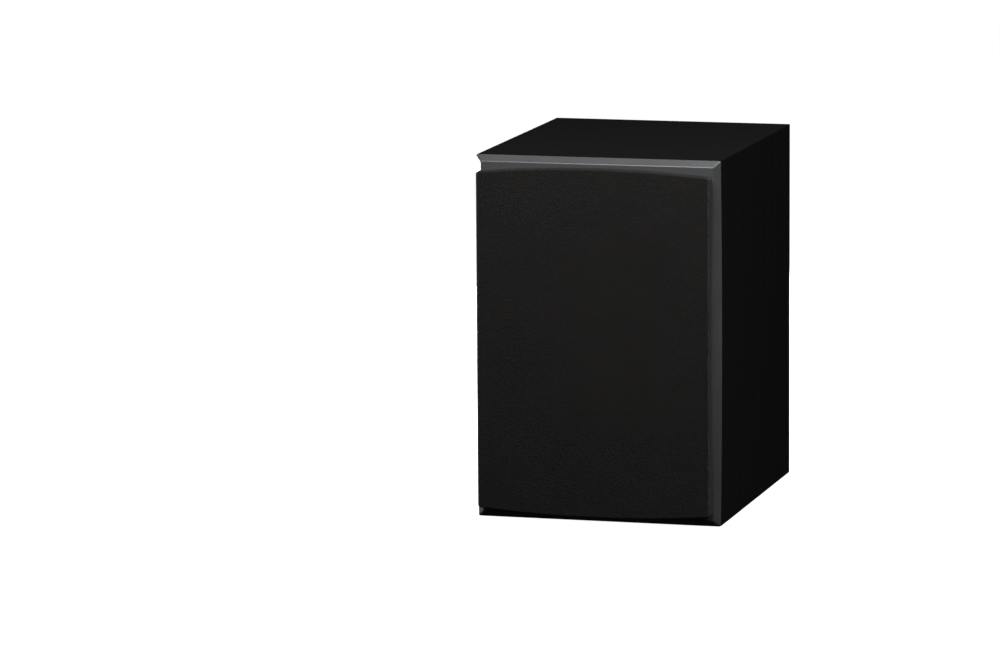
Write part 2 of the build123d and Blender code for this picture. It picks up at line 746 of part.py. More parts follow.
def knob(x):
    """The fluted hand nut, in its place when screwed right down."""
    start = KNOB_START
    end = start + KNOB_LENGTH
    bore = POST_RADIUS + KNOB_FIT
    outline = area(
        (bore, start),
        (KNOB_RADIUS - 1.2, start),
        (KNOB_RADIUS - 1.2, start + 2),
        (KNOB_RADIUS, start + 2.6),
        (KNOB_RADIUS, end - 0.8),
        (KNOB_RADIUS - 0.8, end),
        (bore + 0.5, end),
        (bore, end - 0.5),
    )
    shape = turned(outline, CUP_Z, Y_REAR, x)
    for i, k in around(KNOB_FLUTES, KNOB_RADIUS + 0.35):
        shape -= rod(0.8, start + 3.4, end, x + i, CUP_Z + k, Y_REAR)
    return shape


def hex_nut(x, near, far):
    """A hexagon nut 10 mm across its flats, on a post."""
    outline = Pos(x, CUP_Z) * (RegularPolygon(5, 6, major_radius=False) - Circle(POST_RADIUS))
    return prism(outline, Y_REAR + near, Y_REAR + far)


def ring_tag(x):
    """The tag that an input wire is crimped to, held under the nut on a post."""
    outline = Pos(x, CUP_Z) * Circle(5.5) + Pos(x, CUP_Z - 9) * Rectangle(4, 12)
    return prism(outline - Pos(x, CUP_Z) * Circle(POST_RADIUS), Y_REAR - 36, Y_REAR - 35)


def binding_posts():
    """Two five-way binding posts, the positive one on the right as seen from behind."""
    collars, nuts = [], []
    names = {"positive": -1, "negative": 1}
    studs = [post_stud(side * POST_SPACING / 2) for side in names.values()]
    save("binding_posts", Compound(children=studs))
    for name, side in names.items():
        x = side * POST_SPACING / 2
        collars.append(turned(ring(POST_RADIUS, 6.2, -30, -26), CUP_Z, Y_REAR, x))
        collars.append(turned(ring(POST_RADIUS, 6.2, -35, -33), CUP_Z, Y_REAR, x))
        nuts.append(hex_nut(x, -40, -36))
        washer = ring(POST_RADIUS + KNOB_FIT, 5.6, -26, KNOB_START - WASHER_PLAY)
        save(f"post_washer_{name}", turned(washer, CUP_Z, Y_REAR, x))
        save(f"post_knob_{name}", knob(x))
    save("post_insulators", Compound(children=collars))
    save("post_nuts", Compound(children=nuts))


# Crossover -------------------------------------------------------------------------------------


def board_top():
    """The height of the crossover board's upper face."""
    return BOARD + STANDOFF + CROSSOVER_THICKNESS


def inductor(x, y, radius, bore, height):
    """A coil of enamelled wire on a flanged bobbin."""
    top = board_top()
    shape = Pos(x, y, top + height / 2) * Cylinder(radius - 1.5, height)
    for z in (top + 0.75, top + height - 0.75):
        shape += Pos(x, y, z) * Cylinder(radius, 1.5)
    return shape - Pos(x, y, top + height / 2) * Cylinder(bore, height)


def capacitor(x, y, radius, length):
    """A round capacitor lying along X."""
    return Pos(x, y, board_top() + radius) * Rot(0, 90, 0) * Cylinder(radius, length)


def crossover():
    """The board on the bottom panel with the parts that share the signal between the drivers."""
    top = board_top()
    x, far = CROSSOVER_WIDTH / 2, CROSSOVER_Y + CROSSOVER_LENGTH
    board = block((-x, x), (CROSSOVER_Y, far), (top - CROSSOVER_THICKNESS, top))
    standoffs = []
    for i in (-x + 5, x - 5):
        for k in (CROSSOVER_Y + 5, far - 5):
            board -= Pos(i, k, top) * Cylinder(STANDOFF_NECK, 10)
            post = Pos(i, k, BOARD + STANDOFF / 2) * Cylinder(STANDOFF_RADIUS, STANDOFF)
            post += Pos(i, k, top - 1) * Cylinder(STANDOFF_NECK, 5)
            post += Pos(i, k, top + 0.9) * Cylinder(STANDOFF_HEAD, 1.8)
            standoffs.append(post)
    save("crossover_board", board)
    save("crossover_standoffs", Compound(children=standoffs))
    coils = [inductor(-24, 46, 16, 7, 15), inductor(28, 42, 12, 5, 13)]
    save("crossover_inductors", Compound(children=coils))
    cans = [capacitor(-20, 72, 8, 28), capacitor(18, 64, 6.5, 24), capacitor(17, 80, 5, 22)]
    save("crossover_capacitors", Compound(children=cans))
    resistors = [
        block((-1.5, 7.5), (29, 57), (top, top + 9)),
        block((34.5, 41.5), (56, 76), (top, top + 7)),
    ]
    save("crossover_resistors", Compound(children=resistors))


# Wires -----------------------------------------------------------------------------------------


def swept(path, radius):
    """A round wire along a path of straight runs and tangent arcs."""
    section = Plane(origin=path @ 0, z_dir=path % 0) * Circle(radius)
    wire = sweep(section, path=path)
    expected = math.pi * radius**2 * path.length
    print("  wire volume over section times length:", round(wire.volume / expected, 4))
    return wire


def wire(*points):
    """An insulated wire through hand-placed points, each corner as round as its two runs allow."""
    places = [Vector(point) for point in points]
    runs = [after - before for before, after in zip(places, places[1:])]
    radii = []
    for before, after in zip(runs, runs[1:]):
        half_turn = math.radians(before.get_angle(after)) / 2
        widest = 0.45 * min(before.length, after.length) / math.tan(half_turn)
        radii.append(min(WIRE_BEND, widest))
    print("  bend radii:", [round(radius, 1) for radius in radii])
    return swept(FilletPolyline(*places, radius=radii), WIRE_RADIUS)


def woofer_connector(z):
    """A push-on connector over one of the woofer's tabs."""
    body = block((60, 73), (SEAT_Y + 25, SEAT_Y + 27.8), (z - 4.2, z + 4.2))
    return body - block((60, 66), (SEAT_Y + 26, SEAT_Y + 26.8), (z - 3.15, z + 3.15))


def tweeter_connector(side):
    """A push-on connector over one of the tweeter's tabs."""
    body = block((32, 34.8), (SEAT_Y + 11, SEAT_Y + 24), (TWEETER_Z - 3.5, TWEETER_Z + 3.5))
    tab = block((33, 33.8), (SEAT_Y + 11, SEAT_Y + 20), (TWEETER_Z - 2.4, TWEETER_Z + 2.4))
    sleeve = body - tab
    return sleeve if side > 0 else mirror(sleeve, Plane.YZ)


def wiring():
    """Six wires: from the posts to the board, and from the board to the two drivers."""
    top = board_top()
    tag_y, tag_z = Y_REAR - 35.5, CUP_Z - 15
    input_wires, woofer_wires, tweeter_wires, terminals = [], [], [], []
    for side in (-1, 1):
        x = side * POST_SPACING / 2
        terminals.append(ring_tag(x))
        foot = side * 3.0
        input_wires.append(
            wire((x, tag_y, tag_z), (x, tag_y, 46), (foot, 84, 35), (foot, 84, top))
        )

        z = WOOFER_Z + side * TAB_Z
        terminals.append(woofer_connector(z))
        offset = 2.0 * side
        woofer_wires.append(
            wire(
                (73, SEAT_Y + 26.4, z),
                (82, SEAT_Y + 26.4, z),
                (82, -55, z - 14),
                (62 + offset, -22, 56 + offset),
                (20 + offset, 6, 42),
                (-12 + offset, 27, 38),
                (-12 + offset, 27, top),
            )
        )

        terminals.append(tweeter_connector(side))
        tweeter_wires.append(
            wire(
                (33.4 * side, SEAT_Y + 24, TWEETER_Z),
                (33.4 * side, -72, TWEETER_Z),
                (-40 + 6 * side, -48 - 3 * side, 190),
                (-58 + offset, -30, 135 + offset),
                (-48 + offset, -12, 70 + offset),
                (-8 + offset, 6, 52 + offset),
                (15 + offset, 27, 44),
                (15 + offset, 27, top),
            )
        )
    save("wires_input", Compound(children=input_wires))
    save("wires_woofer", Compound(children=woofer_wires))
    save("wires_tweeter", Compound(children=tweeter_wires))
    save("wire_terminals", Compound(children=terminals))


def damping():
    """Three pads of polyester wadding, on both sides and under the top."""
    inner = WIDTH / 2 - BOARD
    pads = [
        block((-inner, -inner + PAD), PAD_Y, PAD_Z),
        block((inner - PAD, inner), PAD_Y, PAD_Z),
        block((-TOP_PAD_X, TOP_PAD_X), TOP_PAD_Y, (HEIGHT - BOARD - TOP_PAD, HEIGHT - BOARD)),
    ]
    save("damping_pads", Compound(children=pads))


# Grille ----------------------------------------------------------------------------------------


def grille_outline(inset, corner):
    """The grille from the front: straight sides, and a gently arched top and bottom."""
    x = GRILLE_WIDTH / 2 - inset
    low, high = GRILLE_FOOT + inset, GRILLE_TOP - inset
    top = ThreePointArc((-x, high), (0, high + GRILLE_RISE), (x, high))
    bottom = ThreePointArc((x, low), (0, low - GRILLE_RISE), (-x, low))
    edges = top.edges() + bottom.edges()
    edges += Line((x, high), (x, low)).edges() + Line((-x, low), (-x, high)).edges()
    outline = make_face(edges)
    return fillet(outline.vertices(), corner)


def grille_block(inset, corner, front, gap, edge):
    """A block of the grille's outline whose back follows the baffle's face at a distance."""
    shape = prism(grille_outline(inset, corner), Y_FRONT - front, Y_FRONT)
    rim = shape.faces().sort_by(Axis.Y)[0].edges()
    shape = fillet(rim, edge)
    return shape - behind_face(FACE_AHEAD_ENDS + gap, FACE_AHEAD_MIDDLE + gap)


def frame_openings():
    """The two openings of the grille's frame, with the crossbar between them."""
    x = GRILLE_WIDTH / 2 - CLOTH - FRAME_BORDER
    spans = (
        (OPENING_FOOT, CROSSBAR_Z - CROSSBAR / 2),
        (CROSSBAR_Z + CROSSBAR / 2, OPENING_TOP),
    )
    lower, upper = [
        Pos(0, (low + high) / 2) * RectangleRounded(2 * x, high - low, OPENING_CORNER)
        for low, high in spans
    ]
    return lower + upper


def grille():
    """The frame, the cloth stretched over it, and the four pegs."""
    front = GRILLE_AHEAD - CLOTH
    envelope = grille_block(CLOTH, FRAME_CORNER, front, GRILLE_GAP + CLOTH, FRAME_EDGE)
    frame = envelope - prism(frame_openings(), Y_FRONT - GRILLE_AHEAD, Y_FRONT)
    outside = (FRAME_CORNER + CLOTH, GRILLE_AHEAD, GRILLE_GAP, FRAME_EDGE + CLOTH)
    cloth = grille_block(0, *outside) - envelope
    cloth -= prism(grille_outline(CLOTH_TURN_IN, CLOTH_TURN_CORNER), Y_FRONT - front + 1, Y_FRONT)

    pegs = []
    collar = -(socket_front() + GRILLE_GAP - 1.1)
    seat = collar - PEG_COLLAR_THICKNESS
    for x, z in peg_places():
        frame -= rod(PEG_COLLAR + 0.2, seat, 0, x, z, Y_FRONT)
        frame -= rod(PEG_SPIGOT, PEG_SPIGOT_END, 0, x, z, Y_FRONT)
        profile = area(
            (0, PEG_END),
            (PEG_RADIUS - 1.2, PEG_END),
            (PEG_RADIUS, PEG_END - 1.2),
            (PEG_RADIUS, collar),
            (PEG_COLLAR, collar),
            (PEG_COLLAR, seat),
            (PEG_SPIGOT, seat),
            (PEG_SPIGOT, PEG_SPIGOT_END),
            (0, PEG_SPIGOT_END),
        )
        pegs.append(turned(profile, z, Y_FRONT, x))
    save("grille_frame", frame)
    save("grille_cloth", cloth)
    save("grille_pegs", Compound(children=pegs))


cabinet()
baffle()
woofer()
tweeter()
port()
terminal_cup()
binding_posts()
crossover()
wiring()
damping()
grille()
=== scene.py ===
import math

import bmesh
import bpy
from mathutils import Matrix, Vector, noise


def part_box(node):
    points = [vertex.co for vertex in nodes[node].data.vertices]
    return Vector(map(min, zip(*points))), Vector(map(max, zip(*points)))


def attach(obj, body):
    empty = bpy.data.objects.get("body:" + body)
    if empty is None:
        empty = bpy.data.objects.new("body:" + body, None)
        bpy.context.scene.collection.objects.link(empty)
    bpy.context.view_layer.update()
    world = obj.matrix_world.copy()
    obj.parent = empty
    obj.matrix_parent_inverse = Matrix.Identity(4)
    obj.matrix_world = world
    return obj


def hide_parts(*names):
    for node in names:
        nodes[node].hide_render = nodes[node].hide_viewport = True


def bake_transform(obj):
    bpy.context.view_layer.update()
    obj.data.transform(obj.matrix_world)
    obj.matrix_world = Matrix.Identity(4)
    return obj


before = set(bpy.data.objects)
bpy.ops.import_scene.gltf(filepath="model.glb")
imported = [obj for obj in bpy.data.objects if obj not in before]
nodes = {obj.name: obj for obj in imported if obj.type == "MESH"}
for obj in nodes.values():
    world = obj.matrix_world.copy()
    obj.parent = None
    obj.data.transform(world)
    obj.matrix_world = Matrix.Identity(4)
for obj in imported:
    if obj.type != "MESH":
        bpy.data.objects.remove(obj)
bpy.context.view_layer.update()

# Metres. X to the right, Y towards the back, Z up; the loudspeaker looks along -Y.

scene = bpy.context.scene
TURN = 2 * math.pi
TINY = 1e-6
MM = 0.001


# Materials: a small kit for building procedural node trees ---------------------------------------


class Finish:
    """One material and the shader nodes that are added to it."""

    def __init__(self, name, roughness=0.5, metallic=0.0, **values):
        self.name = name
        self.material = bpy.data.materials.new(name)
        self.material.use_nodes = True
        self.tree = self.material.node_tree
        self.shader = self.tree.nodes["Principled BSDF"]
        self.relief = None
        self.set(Roughness=roughness, Metallic=metallic, **values)
        self.place = self.add("TexCoord").outputs["Object"]

    def set(self, **values):
        """Sets the shader's own values; an underscore stands for a space."""
        for name, value in values.items():
            self.shader.inputs[name.replace("_", " ")].default_value = value

    def add(self, kind, **values):
        """Adds a node, and sets the properties that are named."""
        node = self.tree.nodes.new("ShaderNode" + kind)
        for name, value in values.items():
            setattr(node, name, value)
        return node

    def put(self, value, socket):
        """Links a socket, or sets a plain value."""
        if isinstance(value, bpy.types.NodeSocket):
            self.tree.links.new(value, socket)
        else:
            socket.default_value = value

    def maths(self, operation, *values):
        """One sum on numbers or sockets."""
        node = self.add("Math", operation=operation)
        for value, socket in zip(values, node.inputs):
            self.put(value, socket)
        return node.outputs[0]

    def mixed(self, *shares):
        """Adds up patterns, each with its share."""
        total = None
        for value, share in shares:
            part = self.maths("MULTIPLY", value, share)
            total = part if total is None else self.maths("ADD", total, part)
        return total

    def waves(self, operation, value, pitch):
        """Even waves along a coordinate, with one crest in each pitch."""
        return self.maths(operation, self.maths("MULTIPLY", value, TURN / pitch))

    def split(self, place=None):
        """The three coordinates, one by one."""
        node = self.add("SeparateXYZ")
        self.put(place or self.place, node.inputs[0])
        return node.outputs

    def scaled(self, stretch, place=None):
        """The coordinates, stretched along each axis."""
        node = self.add("Mapping", vector_type="POINT")
        self.put(place or self.place, node.inputs["Vector"])
        node.inputs["Scale"].default_value = stretch
        return node.outputs[0]

    def noise(self, scale, detail=3.0, stretch=(1, 1, 1), place=None):
        """Cloudy noise from 0 to 1, with scale features to the metre."""
        node = self.add("TexNoise")
        self.put(self.scaled(stretch, place), node.inputs["Vector"])
        node.inputs["Scale"].default_value = scale
        node.inputs["Detail"].default_value = detail
        return node.outputs[0]

    def cells(self, scale):
        """Distance to the nearest of many scattered points."""
        node = self.add("TexVoronoi", feature="F1")
        self.put(self.scaled((1, 1, 1)), node.inputs["Vector"])
        node.inputs["Scale"].default_value = scale
        return node.outputs["Distance"]

    def spread(self, value, low, high, to_low, to_high):
        """Maps low..high to another range, and stops at its ends."""
        node = self.add("MapRange")
        for item, socket in zip((value, low, high, to_low, to_high), node.inputs):
            self.put(item, socket)
        return node.outputs[0]

    def unit(self, value):
        """Maps -1..1 to 0..1."""
        return self.spread(value, -1.0, 1.0, 0.0, 1.0)

    def blend(self, amount, first, second):
        """A colour between two colours."""
        node = self.add("Mix", data_type="RGBA")
        self.put(amount, node.inputs[0])
        for colour, socket in ((first, node.inputs[6]), (second, node.inputs[7])):
            self.put((*colour, 1.0) if isinstance(colour, tuple) else colour, socket)
        return node.outputs[2]

    def colour(self, value):
        """Links the shader's colour."""
        self.put(value, self.shader.inputs["Base Color"])

    def shaded(self, tone, low, high, dark, light):
        """Colours by a pattern: dark below low, light above high."""
        self.colour(self.blend(self.spread(tone, low, high, 0.0, 1.0), dark, light))

    def rough(self, value, low, high):
        """Varies the roughness between two values, by a pattern from 0 to 1."""
        self.put(self.spread(value, 0.25, 0.75, low, high), self.shader.inputs["Roughness"])

    def bump(self, height, depth, strength=1.0):
        """Adds relief of a depth in metres over what is there already."""
        node = self.add("Bump")
        node.inputs["Strength"].default_value = strength
        node.inputs["Distance"].default_value = depth
        self.put(height, node.inputs["Height"])
        if self.relief:
            self.put(self.relief, node.inputs["Normal"])
        self.relief = node.outputs[0]
        self.put(self.relief, self.shader.inputs["Normal"])


def grained(name, dark, light, scale, depth, roughness, **values):
    """A plain moulded, cast or painted surface: fine grain over slow cloudy patches.

    A colour given as one number is a grey.
    """
    dark, light = [tone if isinstance(tone, tuple) else (tone,) * 3 for tone in (dark, light)]
    made = Finish(name, **values)
    fine = made.noise(scale, 4.0)
    slow = made.noise(scale / 30, 2.0)
    tone = made.mixed((fine, 0.6), (slow, 0.4))
    made.shaded(tone, 0.35, 0.65, dark, light)
    made.rough(tone, *roughness)
    made.bump(fine, depth)
    return made


def vinyl(name, along, across):
    """Black vinyl wrap with a faint drawn grain that runs one way."""
    made = Finish(name, Specular_IOR_Level=0.3)
    fibres = made.noise(1.0, 4.0, tuple(40.0 if axis == along else 900.0 for axis in "xyz"))
    bands = made.noise(1.0, 2.0, tuple(60.0 if axis == across else 3.0 for axis in "xyz"))
    pores = made.noise(5200.0, 2.0)
    tone = made.mixed((fibres, 0.5), (bands, 0.5))
    made.shaded(tone, 0.35, 0.65, (0.0042, 0.0039, 0.0039), (0.0078, 0.0073, 0.0073))
    made.rough(tone, 0.50, 0.36)
    made.bump(fibres, 0.00006, 0.5)
    made.bump(pores, 0.00004, 0.6)
    return made


def moulding():
    """The baffle's charcoal plastic, with a faint fleck and a fine satin texture."""
    made = Finish("charcoal_moulding", Specular_IOR_Level=0.5)
    fleck = made.cells(5200.0)
    cloud = made.noise(45.0, 3.0)
    tone = made.mixed((fleck, 0.7), (cloud, 0.5))
    made.shaded(tone, 0.3, 0.8, (0.096, 0.098, 0.101), (0.082, 0.083, 0.085))
    made.rough(cloud, 0.27, 0.20)
    made.bump(made.noise(4200.0, 2.0), 0.00002, 0.25)
    return made


KNIT_WIDTH, KNIT_HEIGHT = 0.0029, 0.0017
CLOTH_DARK, CLOTH_LIGHT = (0.0002, 0.0002, 0.0002), (0.0260, 0.0240, 0.0226)
# The second pair is painted light: a lighter tone painted on the cloth's sides, and painted highlight
# dots along its fold.
CLOTH_SIDE_PAINTED_LIGHT, CLOTH_PAINTED_GLINT = (0.060, 0.058, 0.056), (0.17, 0.165, 0.16)


def knit(name):
    """Stretched knitted cloth: staggered loops with small dark holes between them.

    Where it bends round the sides of the frame, the colour is painted lighter, with painted highlight
    dots along the fold: painted light standing in for the light the sides catch.
    """
    made = Finish(name, Specular_IOR_Level=0.25, Sheen_Weight=0.06, Sheen_Roughness=0.4)
    flat = made.add("Attribute", attribute_name="flat").outputs["Vector"]
    wander = made.noise(220.0, 2.0, place=flat)
    uneven = made.noise(620.0, 2.0, place=flat)
    across, upward, _ = made.split(flat)
    shifted = [
        (made.maths("ADD", value, made.maths("MULTIPLY", wander, size * 0.9)), size)
        for value, size in ((across, KNIT_WIDTH), (upward, KNIT_HEIGHT))
    ]
    columns, rows = [made.waves("COSINE", value, size) for value, size in shifted]
    loops = made.unit(made.maths("MULTIPLY", columns, rows))
    yarn = made.noise(1500.0, 3.0, place=flat)
    patches = made.noise(22.0, 3.0, place=flat)
    height = made.mixed((loops, 0.7), (yarn, 0.3), (uneven, 0.55))
    tone = made.maths("ADD", height, made.maths("MULTIPLY", patches, 0.12))
    plain = made.blend(made.spread(tone, 0.70, 0.98, 0.0, 1.0), CLOTH_DARK, CLOTH_LIGHT)

    out = made.maths("ABSOLUTE", across)
    start = CLOTH_HIGH.x - FOLD
    # Painted highlight dots: a band just past where the fold starts, dotted along the rows of loops.
    glint_band = made.maths(
        "MULTIPLY",
        made.spread(out, start - 0.0002, start + 0.0003, 0.0, 1.0),
        made.spread(out, start + 0.0007, start + 0.0012, 1.0, 0.0),
    )
    glint_dots = made.maths(
        "MULTIPLY", made.spread(rows, 0.1, 0.8, 0.0, 1.0), made.spread(uneven, 0.4, 0.6, 0.2, 1.0)
    )
    # Painted light: the cloth's sides, past the fold, are painted lighter.
    side = made.maths("MULTIPLY", made.spread(out, start + 0.0003, start + 0.0015, 0.0, 1.0), 0.5)
    side_painted_light = made.blend(side, plain, CLOTH_SIDE_PAINTED_LIGHT)
    made.colour(made.blend(made.maths("MULTIPLY", glint_band, glint_dots), side_painted_light, CLOTH_PAINTED_GLINT))
    made.put(made.spread(height, 0.45, 1.15, 0.95, 0.62), made.shader.inputs["Roughness"])
    made.bump(height, 0.00035, 0.7)
    return made


COPPER_DARK, COPPER_LIGHT = (0.22, 0.06, 0.02), (0.72, 0.30, 0.13)


def wound(name, axis, pitch, roughness):
    """Fine enamelled copper wire wound in close turns along an axis."""
    made = Finish(name, roughness=0.3, metallic=0.9)
    turns = made.unit(made.waves("SINE", made.split()["xyz".index(axis)], pitch))
    tarnish = made.noise(220.0, 3.0)
    made.colour(made.blend(made.mixed((turns, 0.6), (tarnish, 0.4)), COPPER_DARK, COPPER_LIGHT))
    made.rough(tarnish, *roughness)
    made.bump(turns, 0.00012)
    return made


def pulp(name):
    """Pressed black paper: short fibres lying every way, over a slow mottle."""
    made = Finish(name, Specular_IOR_Level=0.3)
    layers = [
        made.noise(1.0, 3.0, stretch)
        for stretch in ((380.0, 900.0, 2600.0), (2600.0, 900.0, 380.0), (1400.0, 900.0, 1400.0))
    ]
    fibres = made.maths("MAXIMUM", made.maths("MAXIMUM", layers[0], layers[1]), layers[2])
    mottle = made.noise(60.0, 2.0)
    tone = made.mixed((fibres, 0.8), (mottle, 0.2))
    made.shaded(tone, 0.45, 0.75, (0.010, 0.010, 0.010), (0.060, 0.058, 0.055))
    made.rough(mottle, 0.95, 0.75)
    made.bump(fibres, 0.00018)
    return made


def board_laminate(name):
    """Green laminate with its glass weave showing, and broad copper tracks under the lacquer."""
    made = Finish(name, Coat_Weight=0.3, Coat_Roughness=0.25)
    warp, weft, _ = [made.waves("SINE", value, 0.0009) for value in made.split()]
    weave = made.unit(made.maths("MULTIPLY", warp, weft))
    tracks = made.spread(made.noise(1.0, 0.0, (55.0, 20.0, 1.0)), 0.47, 0.49, 0.0, 1.0)
    base = made.blend(weave, (0.010, 0.070, 0.024), (0.018, 0.095, 0.034))
    made.colour(made.blend(tracks, base, (0.035, 0.165, 0.050)))
    made.rough(made.noise(300.0, 2.0), 0.45, 0.3)
    made.bump(tracks, 0.00008)
    return made


def batting(name):
    """White polyester wadding: long tangled fibres with deep soft hollows."""
    made = Finish(name, Sheen_Weight=0.3, Sheen_Roughness=0.6)
    tangles = [
        made.noise(1.0, 4.0, stretch)
        for stretch in ((90.0, 700.0, 900.0), (900.0, 90.0, 700.0), (700.0, 900.0, 90.0))
    ]
    fibres = made.maths("MAXIMUM", made.maths("MAXIMUM", tangles[0], tangles[1]), tangles[2])
    hollows = made.noise(95.0, 3.0)
    tone = made.mixed((fibres, 0.6), (hollows, 0.4))
    made.shaded(tone, 0.4, 0.7, (0.42, 0.42, 0.40), (0.88, 0.88, 0.85))
    made.rough(hollows, 1.0, 0.9)
    made.bump(hollows, 0.0012, 0.6)
    made.bump(fibres, 0.0006)
    return made


def fibreboard(name):
    """Raw fibreboard: pressed wood dust and fine chips in a soft mottle."""
    made = Finish(name, Specular_IOR_Level=0.25)
    dust = made.noise(2400.0, 4.0)
    chips = made.cells(900.0)
    cloud = made.noise(26.0, 3.0)
    tone = made.mixed((dust, 0.5), (cloud, 0.4), (chips, 0.15))
    made.shaded(tone, 0.35, 0.7, (0.20, 0.125, 0.065), (0.42, 0.29, 0.17))
    made.rough(cloud, 0.98, 0.85)
    made.bump(dust, 0.00012)
    return made


def woven(name, pitch, dark, light, depth, roughness):
    """Fine plain-woven cloth: two crossed sets of threads."""
    made = Finish(name)
    warp, _, weft = [made.waves("SINE", value, pitch) for value in made.split()]
    weave = made.unit(made.maths("MULTIPLY", warp, weft))
    fuzz = made.noise(2600.0, 3.0)
    made.shaded(made.mixed((weave, 0.6), (fuzz, 0.5)), 0.25, 0.85, dark, light)
    made.rough(fuzz, *roughness)
    made.bump(weave, depth)
    return made


# Meshes ------------------------------------------------------------------------------------------


def piece_from(name, points, faces, finish):
    """A new object from points and faces, with its material and the slot it stands for."""
    mesh = bpy.data.meshes.new(name)
    mesh.from_pydata(points, [], faces)
    mesh.validate()
    made = bpy.data.objects.new(name, mesh)
    scene.collection.objects.link(made)
    mesh.materials.append(finish.material)
    mesh.polygons.foreach_set("use_smooth", [True] * len(mesh.polygons))
    return made


def stitched(rows, columns, closed=False):
    """Quads over a grid of rows and columns; closed joins the last column to the first."""
    last = columns if closed else columns - 1
    return [
        (r * columns + c, r * columns + (c + 1) % columns,
         (r + 1) * columns + (c + 1) % columns, (r + 1) * columns + c)
        for r in range(rows - 1)
        for c in range(last)
    ]


def outward(made, seam=None):
    """Turns every face of a mesh to the outside, after joining the points on its seam."""
    with_mesh = bmesh.new()
    with_mesh.from_mesh(made.data)
    if seam:
        joined = [v for v in with_mesh.verts if seam(v.co)]
        bmesh.ops.remove_doubles(with_mesh, verts=joined, dist=TINY)
    bmesh.ops.recalc_face_normals(with_mesh, faces=with_mesh.faces[:])
    with_mesh.to_mesh(made.data)
    with_mesh.free()


def settle(made, modifier):
    """Applies one modifier to the mesh."""
    with bpy.context.temp_override(object=made, active_object=made, selected_objects=[made]):
        bpy.ops.object.modifier_apply(modifier=modifier.name)


# Grille cloth ------------------------------------------------------------------------------------

CLOTH_LOW, CLOTH_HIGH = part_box("grille_cloth")
MIDDLE_Z = (CLOTH_LOW.z + CLOTH_HIGH.z) / 2
CLOTH_SKIN = 0.0005
ARCH_RISE = 0.0044
CORNER = 0.0024
LEAST_CORNER = 0.0003
FOLD = 0.0012
BACK_FOLD = 0.0006
TURNED_IN = 0.0050
# Where the cloth ends behind: its depth half way up, and how much further back it is at the ends
BACK_MIDDLE, BACK_CURVE = -0.12485, 0.0025
# The flat front: rings at these insets, and within the first of them rings that close on the middle
INSETS = (0.012, 0.008, 0.005, 0.003, FOLD + 0.0004)
CLOSING = (1.0, 0.93, 0.86, 0.78, 0.7, 0.6, 0.5, 0.4, 0.3, 0.2, 0.1)
SIDE_STEPS, CORNER_STEPS, TOP_STEPS = 44, 8, 30
FOLD_STEPS, DEPTH_STEPS, BACK_STEPS = 7, 5, 4


def quarter(inset):
    """A quarter of the grille's outline, from the middle of a side to the middle of the top."""
    half, top = CLOTH_HIGH.x - inset, CLOTH_HIGH.z - MIDDLE_Z - inset
    radius = max(CORNER - inset, LEAST_CORNER)
    lean = math.atan(2 * ARCH_RISE / half)
    touch = half - radius + radius * math.sin(lean)

    def arch(x):
        return top - ARCH_RISE * (x / half) ** 2

    centre_x, centre_z = half - radius, arch(touch) - radius * math.cos(lean)
    points = [(half, centre_z * i / SIDE_STEPS, 1.0, 0.0) for i in range(SIDE_STEPS)]
    for i in range(CORNER_STEPS):
        angle = (math.pi / 2 - lean) * i / CORNER_STEPS
        c, s = math.cos(angle), math.sin(angle)
        points.append((centre_x + radius * c, centre_z + radius * s, c, s))
    for i in range(TOP_STEPS + 1):
        x = touch * (1 - i / TOP_STEPS)
        slope = 2 * ARCH_RISE * x / half**2
        length = math.hypot(slope, 1)
        points.append((x, arch(x), slope / length, 1 / length))
    return points


def outline(inset):
    """The whole outline at an inset, as (x, z, outward x, outward z) round the middle."""
    first = quarter(inset)
    back = first[-1:0:-1]
    upper = first[:-1] + [(-x, z, -a, b) for x, z, a, b in back]
    return upper + [(-x, -z, -a, -b) for x, z, a, b in upper]


def cloth_back(z):
    """Where the cloth ends behind, which follows the rounded face of the baffle."""
    reach = CLOTH_HIGH.z - MIDDLE_Z
    return BACK_MIDDLE + BACK_CURVE * (z / reach) ** 2


def cloth_rings():
    """Rings over the sheet, as (x, y, z, way past the fold's start, outward x, outward z)."""
    front = CLOTH_LOW.y
    rings = []
    core = CLOTH_HIGH.z - MIDDLE_Z - CLOTH_HIGH.x
    for share in CLOSING:
        ring = []
        for x, z, a, b in outline(INSETS[0]):
            target = max(-core, min(core, z))
            ring.append((x * (1 - share), front, z + (target - z) * share, 0.0, a, b))
        rings.append(ring)
    for inset in INSETS:
        rings.append([(x, front, z, 0.0, a, b) for x, z, a, b in outline(inset)])
    for i in range(FOLD_STEPS + 1):
        angle = math.pi / 2 * i / FOLD_STEPS
        inset, back = FOLD * (1 - math.sin(angle)), FOLD * (1 - math.cos(angle))
        rings.append([(x, front + back, z, FOLD * angle, a, b) for x, z, a, b in outline(inset)])
    spent = FOLD * math.pi / 2
    for i in range(1, DEPTH_STEPS + 1):
        ring = []
        for x, z, a, b in outline(0.0):
            run = (cloth_back(z) - BACK_FOLD - front - FOLD) * i / DEPTH_STEPS
            ring.append((x, front + FOLD + run, z, spent + run, a, b))
        rings.append(ring)
    longest = [item[3] for item in rings[-1]]
    for i in range(1, BACK_STEPS + 1):
        angle = math.pi / 2 * i / BACK_STEPS
        inset, back = BACK_FOLD * (1 - math.cos(angle)), BACK_FOLD * (math.sin(angle) - 1)
        rings.append([
            (x, cloth_back(z) + back, z, s + BACK_FOLD * angle, a, b)
            for (x, z, a, b), s in zip(outline(inset), longest)
        ])
    for inset in (0.0015, 0.003, TURNED_IN):
        rings.append([
            (x, cloth_back(z), z, s + inset, a, b)
            for (x, z, a, b), s in zip(outline(inset), longest)
        ])
    return rings


